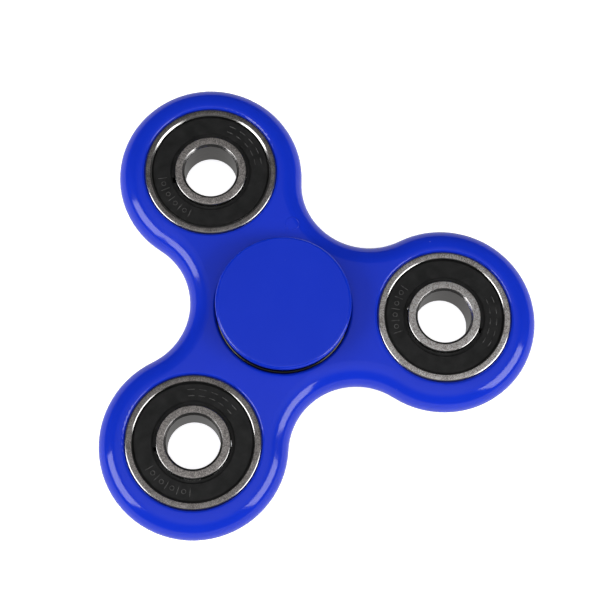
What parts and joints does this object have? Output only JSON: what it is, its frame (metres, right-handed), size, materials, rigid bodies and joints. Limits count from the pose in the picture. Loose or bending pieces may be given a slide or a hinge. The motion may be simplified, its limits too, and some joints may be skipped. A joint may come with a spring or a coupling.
{
  "type": "fidget spinner",
  "caption": "Flat lobed hand spinner that turns on a central ball bearing between round finger caps, with a sealed ball bearing set in each lobe as a weight.",
  "frame": {"origin": "middle of the central bearing, which is also the centre of mass", "axes": "+Z along the spin axis, +X towards the middle of lobe_a, with lobe_b and lobe_c at 120 and 240 degrees"},
  "size_m": [0.07, 0.0762, 0.0142],
  "materials": {
    "frame_plastic": "glossy moulded blue plastic",
    "cap_plastic": "satin moulded blue plastic",
    "race_steel": "ground bearing steel",
    "ball_steel": "polished",
    "cage_steel": "pressed sheet steel",
    "seal_rubber": "matt black moulded rubber"
  },
  "bodies": {
    "hub": {"cap_top": "cap_plastic", "cap_bottom": "cap_plastic", "center_inner_race": "race_steel"},
    "frame_body": {"frame": "frame_plastic", "center_outer_race": "race_steel", "center_seal_upper": "seal_rubber", "center_seal_lower": "seal_rubber", "lobe_a_outer_race": "race_steel", "lobe_a_seal_upper": "seal_rubber", "lobe_a_seal_lower": "seal_rubber", "lobe_b_outer_race": "race_steel", "lobe_b_seal_upper": "seal_rubber", "lobe_b_seal_lower": "seal_rubber", "lobe_c_outer_race": "race_steel", "lobe_c_seal_upper": "seal_rubber", "lobe_c_seal_lower": "seal_rubber"},
    "lobe_a_inner_body": {"lobe_a_inner_race": "race_steel"},
    "lobe_b_inner_body": {"lobe_b_inner_race": "race_steel"},
    "lobe_c_inner_body": {"lobe_c_inner_race": "race_steel"},
    "center_cage_body": {"center_cage_upper": "cage_steel", "center_cage_lower": "cage_steel", "center_cage_rivets": "cage_steel"},
    "center_ball_1_body": {"center_ball_1": "ball_steel"},
    "center_ball_2_body": {"center_ball_2": "ball_steel"},
    "center_ball_3_body": {"center_ball_3": "ball_steel"},
    "center_ball_4_body": {"center_ball_4": "ball_steel"},
    "center_ball_5_body": {"center_ball_5": "ball_steel"},
    "center_ball_6_body": {"center_ball_6": "ball_steel"},
    "center_ball_7_body": {"center_ball_7": "ball_steel"},
    "lobe_a_cage_body": {"lobe_a_cage_upper": "cage_steel", "lobe_a_cage_lower": "cage_steel", "lobe_a_cage_rivets": "cage_steel"},
    "lobe_a_ball_1_body": {"lobe_a_ball_1": "ball_steel"},
    "lobe_a_ball_2_body": {"lobe_a_ball_2": "ball_steel"},
    "lobe_a_ball_3_body": {"lobe_a_ball_3": "ball_steel"},
    "lobe_a_ball_4_body": {"lobe_a_ball_4": "ball_steel"},
    "lobe_a_ball_5_body": {"lobe_a_ball_5": "ball_steel"},
    "lobe_a_ball_6_body": {"lobe_a_ball_6": "ball_steel"},
    "lobe_a_ball_7_body": {"lobe_a_ball_7": "ball_steel"},
    "lobe_b_cage_body": {"lobe_b_cage_upper": "cage_steel", "lobe_b_cage_lower": "cage_steel", "lobe_b_cage_rivets": "cage_steel"},
    "lobe_b_ball_1_body": {"lobe_b_ball_1": "ball_steel"},
    "lobe_b_ball_2_body": {"lobe_b_ball_2": "ball_steel"},
    "lobe_b_ball_3_body": {"lobe_b_ball_3": "ball_steel"},
    "lobe_b_ball_4_body": {"lobe_b_ball_4": "ball_steel"},
    "lobe_b_ball_5_body": {"lobe_b_ball_5": "ball_steel"},
    "lobe_b_ball_6_body": {"lobe_b_ball_6": "ball_steel"},
    "lobe_b_ball_7_body": {"lobe_b_ball_7": "ball_steel"},
    "lobe_c_cage_body": {"lobe_c_cage_upper": "cage_steel", "lobe_c_cage_lower": "cage_steel", "lobe_c_cage_rivets": "cage_steel"},
    "lobe_c_ball_1_body": {"lobe_c_ball_1": "ball_steel"},
    "lobe_c_ball_2_body": {"lobe_c_ball_2": "ball_steel"},
    "lobe_c_ball_3_body": {"lobe_c_ball_3": "ball_steel"},
    "lobe_c_ball_4_body": {"lobe_c_ball_4": "ball_steel"},
    "lobe_c_ball_5_body": {"lobe_c_ball_5": "ball_steel"},
    "lobe_c_ball_6_body": {"lobe_c_ball_6": "ball_steel"},
    "lobe_c_ball_7_body": {"lobe_c_ball_7": "ball_steel"}
  },
  "joints": [
    {"name": "frame_spin", "type": "hinge", "parent": "hub", "child": "frame_body", "pos_m": [0, 0, 0], "axis": [0, 0, 1], "continuous": true},
    {"name": "lobe_a_spin", "type": "hinge", "parent": "frame_body", "child": "lobe_a_inner_body", "pos_m": [0.02635, 0, 0], "axis": [0, 0, 1], "continuous": true},
    {"name": "lobe_b_spin", "type": "hinge", "parent": "frame_body", "child": "lobe_b_inner_body", "pos_m": [-0.01317, 0.02282, 0], "axis": [0, 0, 1], "continuous": true},
    {"name": "lobe_c_spin", "type": "hinge", "parent": "frame_body", "child": "lobe_c_inner_body", "pos_m": [-0.01317, -0.02282, 0], "axis": [0, 0, 1], "continuous": true},
    {"name": "center_cage_orbit", "type": "hinge", "parent": "hub", "child": "center_cage_body", "pos_m": [0, 0, 0], "axis": [0, 0, 1], "continuous": true},
    {"name": "center_ball_1_roll", "type": "hinge", "parent": "center_cage_body", "child": "center_ball_1_body", "pos_m": [0.0075, 0, 0], "axis": [0, 0, 1], "continuous": true},
    {"name": "center_ball_2_roll", "type": "hinge", "parent": "center_cage_body", "child": "center_ball_2_body", "pos_m": [0.00468, 0.00586, 0], "axis": [0, 0, 1], "continuous": true},
    {"name": "center_ball_3_roll", "type": "hinge", "parent": "center_cage_body", "child": "center_ball_3_body", "pos_m": [-0.00167, 0.00731, 0], "axis": [0, 0, 1], "continuous": true},
    {"name": "center_ball_4_roll", "type": "hinge", "parent": "center_cage_body", "child": "center_ball_4_body", "pos_m": [-0.00676, 0.00325, 0], "axis": [0, 0, 1], "continuous": true},
    {"name": "center_ball_5_roll", "type": "hinge", "parent": "center_cage_body", "child": "center_ball_5_body", "pos_m": [-0.00676, -0.00325, 0], "axis": [0, 0, 1], "continuous": true},
    {"name": "center_ball_6_roll", "type": "hinge", "parent": "center_cage_body", "child": "center_ball_6_body", "pos_m": [-0.00167, -0.00731, 0], "axis": [0, 0, 1], "continuous": true},
    {"name": "center_ball_7_roll", "type": "hinge", "parent": "center_cage_body", "child": "center_ball_7_body", "pos_m": [0.00468, -0.00586, 0], "axis": [0, 0, 1], "continuous": true},
    {"name": "lobe_a_cage_orbit", "type": "hinge", "parent": "frame_body", "child": "lobe_a_cage_body", "pos_m": [0.02635, 0, 0], "axis": [0, 0, 1], "continuous": true},
    {"name": "lobe_a_ball_1_roll", "type": "hinge", "parent": "lobe_a_cage_body", "child": "lobe_a_ball_1_body", "pos_m": [0.03344, -0.00244, 0], "axis": [0, 0, 1], "continuous": true},
    {"name": "lobe_a_ball_2_roll", "type": "hinge", "parent": "lobe_a_cage_body", "child": "lobe_a_ball_2_body", "pos_m": [0.03268, 0.00402, 0], "axis": [0, 0, 1], "continuous": true},
    {"name": "lobe_a_ball_3_roll", "type": "hinge", "parent": "lobe_a_cage_body", "child": "lobe_a_ball_3_body", "pos_m": [0.02715, 0.00746, 0], "axis": [0, 0, 1], "continuous": true},
    {"name": "lobe_a_ball_4_roll", "type": "hinge", "parent": "lobe_a_cage_body", "child": "lobe_a_ball_4_body", "pos_m": [0.02102, 0.00528, 0], "axis": [0, 0, 1], "continuous": true},
    {"name": "lobe_a_ball_5_roll", "type": "hinge", "parent": "lobe_a_cage_body", "child": "lobe_a_ball_5_body", "pos_m": [0.0189, -0.00088, 0], "axis": [0, 0, 1], "continuous": true},
    {"name": "lobe_a_ball_6_roll", "type": "hinge", "parent": "lobe_a_cage_body", "child": "lobe_a_ball_6_body", "pos_m": [0.02239, -0.00637, 0], "axis": [0, 0, 1], "continuous": true},
    {"name": "lobe_a_ball_7_roll", "type": "hinge", "parent": "lobe_a_cage_body", "child": "lobe_a_ball_7_body", "pos_m": [0.02886, -0.00707, 0], "axis": [0, 0, 1], "continuous": true},
    {"name": "lobe_b_cage_orbit", "type": "hinge", "parent": "frame_body", "child": "lobe_b_cage_body", "pos_m": [-0.01317, 0.02282, 0], "axis": [0, 0, 1], "continuous": true},
    {"name": "lobe_b_ball_1_roll", "type": "hinge", "parent": "lobe_b_cage_body", "child": "lobe_b_ball_1_body", "pos_m": [-0.02035, 0.02063, 0], "axis": [0, 0, 1], "continuous": true},
    {"name": "lobe_b_ball_2_roll", "type": "hinge", "parent": "lobe_b_cage_body", "child": "lobe_b_ball_2_body", "pos_m": [-0.01593, 0.01585, 0], "axis": [0, 0, 1], "continuous": true},
    {"name": "lobe_b_ball_3_roll", "type": "hinge", "parent": "lobe_b_cage_body", "child": "lobe_b_ball_3_body", "pos_m": [-0.00944, 0.01632, 0], "axis": [0, 0, 1], "continuous": true},
    {"name": "lobe_b_ball_4_roll", "type": "hinge", "parent": "lobe_b_cage_body", "child": "lobe_b_ball_4_body", "pos_m": [-0.00576, 0.02168, 0], "axis": [0, 0, 1], "continuous": true},
    {"name": "lobe_b_ball_5_roll", "type": "hinge", "parent": "lobe_b_cage_body", "child": "lobe_b_ball_5_body", "pos_m": [-0.00766, 0.02791, 0], "axis": [0, 0, 1], "continuous": true},
    {"name": "lobe_b_ball_6_roll", "type": "hinge", "parent": "lobe_b_cage_body", "child": "lobe_b_ball_6_body", "pos_m": [-0.01372, 0.0303, 0], "axis": [0, 0, 1], "continuous": true},
    {"name": "lobe_b_ball_7_roll", "type": "hinge", "parent": "lobe_b_cage_body", "child": "lobe_b_ball_7_body", "pos_m": [-0.01936, 0.02706, 0], "axis": [0, 0, 1], "continuous": true},
    {"name": "lobe_c_cage_orbit", "type": "hinge", "parent": "frame_body", "child": "lobe_c_cage_body", "pos_m": [-0.01317, -0.02282, 0], "axis": [0, 0, 1], "continuous": true},
    {"name": "lobe_c_ball_1_roll", "type": "hinge", "parent": "lobe_c_cage_body", "child": "lobe_c_ball_1_body", "pos_m": [-0.02045, -0.02463, 0], "axis": [0, 0, 1], "continuous": true},
    {"name": "lobe_c_ball_2_roll", "type": "hinge", "parent": "lobe_c_cage_body", "child": "lobe_c_ball_2_body", "pos_m": [-0.01629, -0.02964, 0], "axis": [0, 0, 1], "continuous": true},
    {"name": "lobe_c_ball_3_roll", "type": "hinge", "parent": "lobe_c_cage_body", "child": "lobe_c_ball_3_body", "pos_m": [-0.00979, -0.02951, 0], "axis": [0, 0, 1], "continuous": true},
    {"name": "lobe_c_ball_4_roll", "type": "hinge", "parent": "lobe_c_cage_body", "child": "lobe_c_ball_4_body", "pos_m": [-0.00583, -0.02434, 0], "axis": [0, 0, 1], "continuous": true},
    {"name": "lobe_c_ball_5_roll", "type": "hinge", "parent": "lobe_c_cage_body", "child": "lobe_c_ball_5_body", "pos_m": [-0.00741, -0.01803, 0], "axis": [0, 0, 1], "continuous": true},
    {"name": "lobe_c_ball_6_roll", "type": "hinge", "parent": "lobe_c_cage_body", "child": "lobe_c_ball_6_body", "pos_m": [-0.01332, -0.01532, 0], "axis": [0, 0, 1], "continuous": true},
    {"name": "lobe_c_ball_7_roll", "type": "hinge", "parent": "lobe_c_cage_body", "child": "lobe_c_ball_7_body", "pos_m": [-0.01913, -0.01826, 0], "axis": [0, 0, 1], "continuous": true}
  ],
  "couplings": [
    {"joint": "center_cage_orbit", "follows": "frame_spin", "ratio": 0.6323},
    {"joint": "center_ball_1_roll", "follows": "frame_spin", "ratio": 1.7573},
    {"joint": "center_ball_2_roll", "follows": "frame_spin", "ratio": 1.7573},
    {"joint": "center_ball_3_roll", "follows": "frame_spin", "ratio": 1.7573},
    {"joint": "center_ball_4_roll", "follows": "frame_spin", "ratio": 1.7573},
    {"joint": "center_ball_5_roll", "follows": "frame_spin", "ratio": 1.7573},
    {"joint": "center_ball_6_roll", "follows": "frame_spin", "ratio": 1.7573},
    {"joint": "center_ball_7_roll", "follows": "frame_spin", "ratio": 1.7573},
    {"joint": "lobe_a_cage_orbit", "follows": "lobe_a_spin", "ratio": 0.3677},
    {"joint": "lobe_a_ball_1_roll", "follows": "lobe_a_spin", "ratio": -1.7573},
    {"joint": "lobe_a_ball_2_roll", "follows": "lobe_a_spin", "ratio": -1.7573},
    {"joint": "lobe_a_ball_3_roll", "follows": "lobe_a_spin", "ratio": -1.7573},
    {"joint": "lobe_a_ball_4_roll", "follows": "lobe_a_spin", "ratio": -1.7573},
    {"joint": "lobe_a_ball_5_roll", "follows": "lobe_a_spin", "ratio": -1.7573},
    {"joint": "lobe_a_ball_6_roll", "follows": "lobe_a_spin", "ratio": -1.7573},
    {"joint": "lobe_a_ball_7_roll", "follows": "lobe_a_spin", "ratio": -1.7573},
    {"joint": "lobe_b_cage_orbit", "follows": "lobe_b_spin", "ratio": 0.3677},
    {"joint": "lobe_b_ball_1_roll", "follows": "lobe_b_spin", "ratio": -1.7573},
    {"joint": "lobe_b_ball_2_roll", "follows": "lobe_b_spin", "ratio": -1.7573},
    {"joint": "lobe_b_ball_3_roll", "follows": "lobe_b_spin", "ratio": -1.7573},
    {"joint": "lobe_b_ball_4_roll", "follows": "lobe_b_spin", "ratio": -1.7573},
    {"joint": "lobe_b_ball_5_roll", "follows": "lobe_b_spin", "ratio": -1.7573},
    {"joint": "lobe_b_ball_6_roll", "follows": "lobe_b_spin", "ratio": -1.7573},
    {"joint": "lobe_b_ball_7_roll", "follows": "lobe_b_spin", "ratio": -1.7573},
    {"joint": "lobe_c_cage_orbit", "follows": "lobe_c_spin", "ratio": 0.3677},
    {"joint": "lobe_c_ball_1_roll", "follows": "lobe_c_spin", "ratio": -1.7573},
    {"joint": "lobe_c_ball_2_roll", "follows": "lobe_c_spin", "ratio": -1.7573},
    {"joint": "lobe_c_ball_3_roll", "follows": "lobe_c_spin", "ratio": -1.7573},
    {"joint": "lobe_c_ball_4_roll", "follows": "lobe_c_spin", "ratio": -1.7573},
    {"joint": "lobe_c_ball_5_roll", "follows": "lobe_c_spin", "ratio": -1.7573},
    {"joint": "lobe_c_ball_6_roll", "follows": "lobe_c_spin", "ratio": -1.7573},
    {"joint": "lobe_c_ball_7_roll", "follows": "lobe_c_spin", "ratio": -1.7573}
  ]
}
